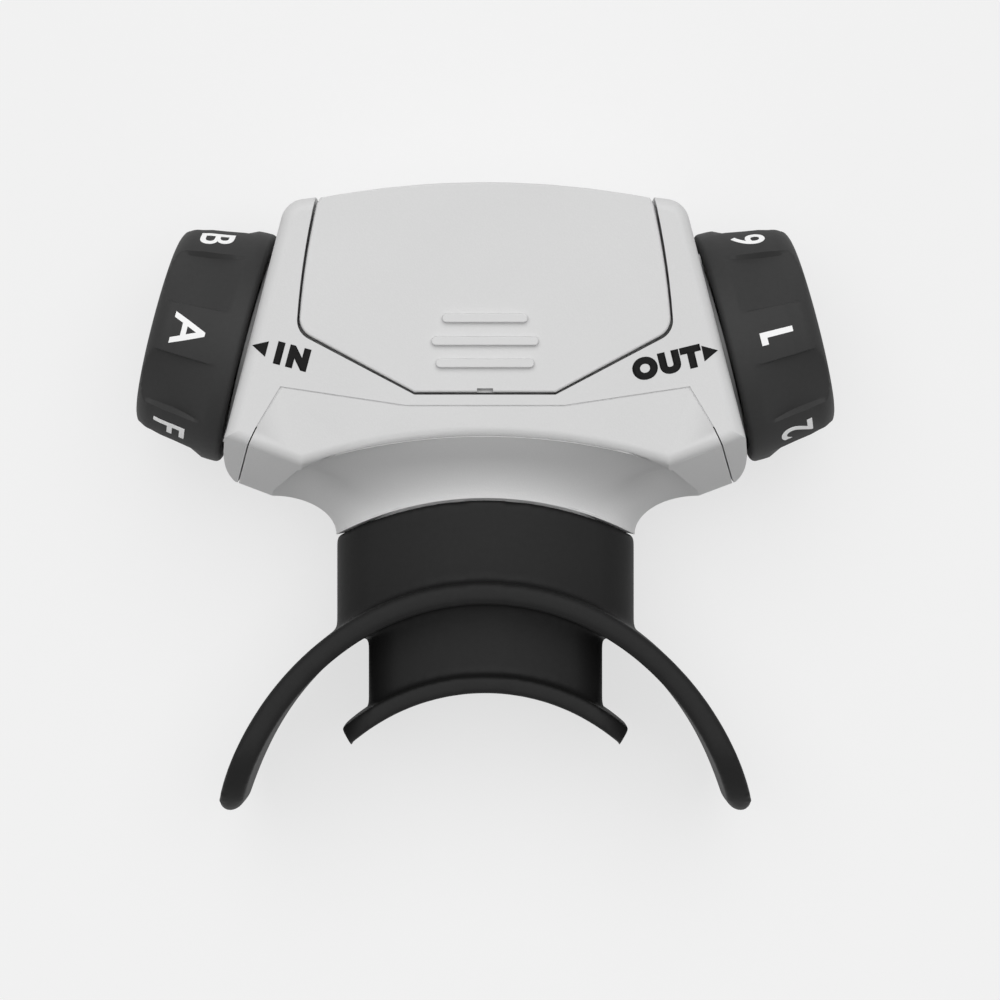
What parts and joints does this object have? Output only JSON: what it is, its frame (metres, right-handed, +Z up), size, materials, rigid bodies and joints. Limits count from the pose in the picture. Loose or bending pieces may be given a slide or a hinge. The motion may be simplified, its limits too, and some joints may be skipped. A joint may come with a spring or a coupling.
{
  "type": "breathing trainer",
  "caption": "Hand-held breathing muscle trainer: a two-part housing with a separate inhale and exhale resistance dial, a lift-out sensor module and a silicone mouthpiece.",
  "frame": {"origin": "centre of the overall footprint on the flat underside", "axes": "+Z up, +Y away from the user, +X to the exhale dial; the mouthpiece points to -Y"},
  "size_m": [0.0902, 0.0806, 0.0337],
  "materials": {
    "housing": "light grey satin moulded plastic with a fine texture",
    "silicone": "matt black silicone",
    "grip": "soft black overmould with a slight sheen",
    "dial_plastic": "black satin plastic",
    "inner_plastic": "dark grey moulded plastic",
    "seal_rubber": "dark grey seal rubber",
    "membrane": "translucent pale silicone",
    "steel": "bright stainless steel",
    "board": "green circuit board with a solder mask"
  },
  "bodies": {
    "housing": {"front_housing": "housing", "rear_housing": "housing", "housing_screws": "steel", "sensor_port_seal": "seal_rubber", "in_port_plate": "inner_plastic", "in_orifice_seal": "seal_rubber", "in_detent_spring": "steel", "in_dial_washer": "steel", "in_dial_screw": "steel", "in_valve_seat": "inner_plastic", "in_valve_membrane": "membrane", "out_port_plate": "inner_plastic", "out_orifice_seal": "seal_rubber", "out_detent_spring": "steel", "out_dial_washer": "steel", "out_dial_screw": "steel", "out_valve_seat": "inner_plastic", "out_valve_membrane": "membrane"},
    "in_dial": {"in_dial_core": "dial_plastic", "in_dial_grip": "grip", "in_hub_cap": "dial_plastic"},
    "out_dial": {"out_dial_core": "dial_plastic", "out_dial_grip": "grip", "out_hub_cap": "dial_plastic"},
    "module": {"module_cover": "housing", "module_tray": "inner_plastic", "module_seal": "seal_rubber", "module_screws": "steel", "circuit_board": "board", "battery_cell": "steel", "pressure_sensor": "inner_plastic"},
    "mouthpiece": {"mouthpiece": "silicone"}
  },
  "joints": [
    {"name": "in_dial_turn", "type": "hinge", "parent": "housing", "child": "in_dial", "pos_m": [-0.02995, 0.0192, 0.0165], "axis": [-0.9681, 0.2504, 0], "continuous": true},
    {"name": "out_dial_turn", "type": "hinge", "parent": "housing", "child": "out_dial", "pos_m": [0.02995, 0.0192, 0.0165], "axis": [0.9681, 0.2504, 0], "continuous": true},
    {"name": "module_lift", "type": "slide", "parent": "housing", "child": "module", "axis": [0, 0, 1], "range_m": [0, 0.014]},
    {"name": "mouthpiece_pull", "type": "slide", "parent": "housing", "child": "mouthpiece", "axis": [0, -1, 0], "range_m": [0, 0.014]}
  ]
}
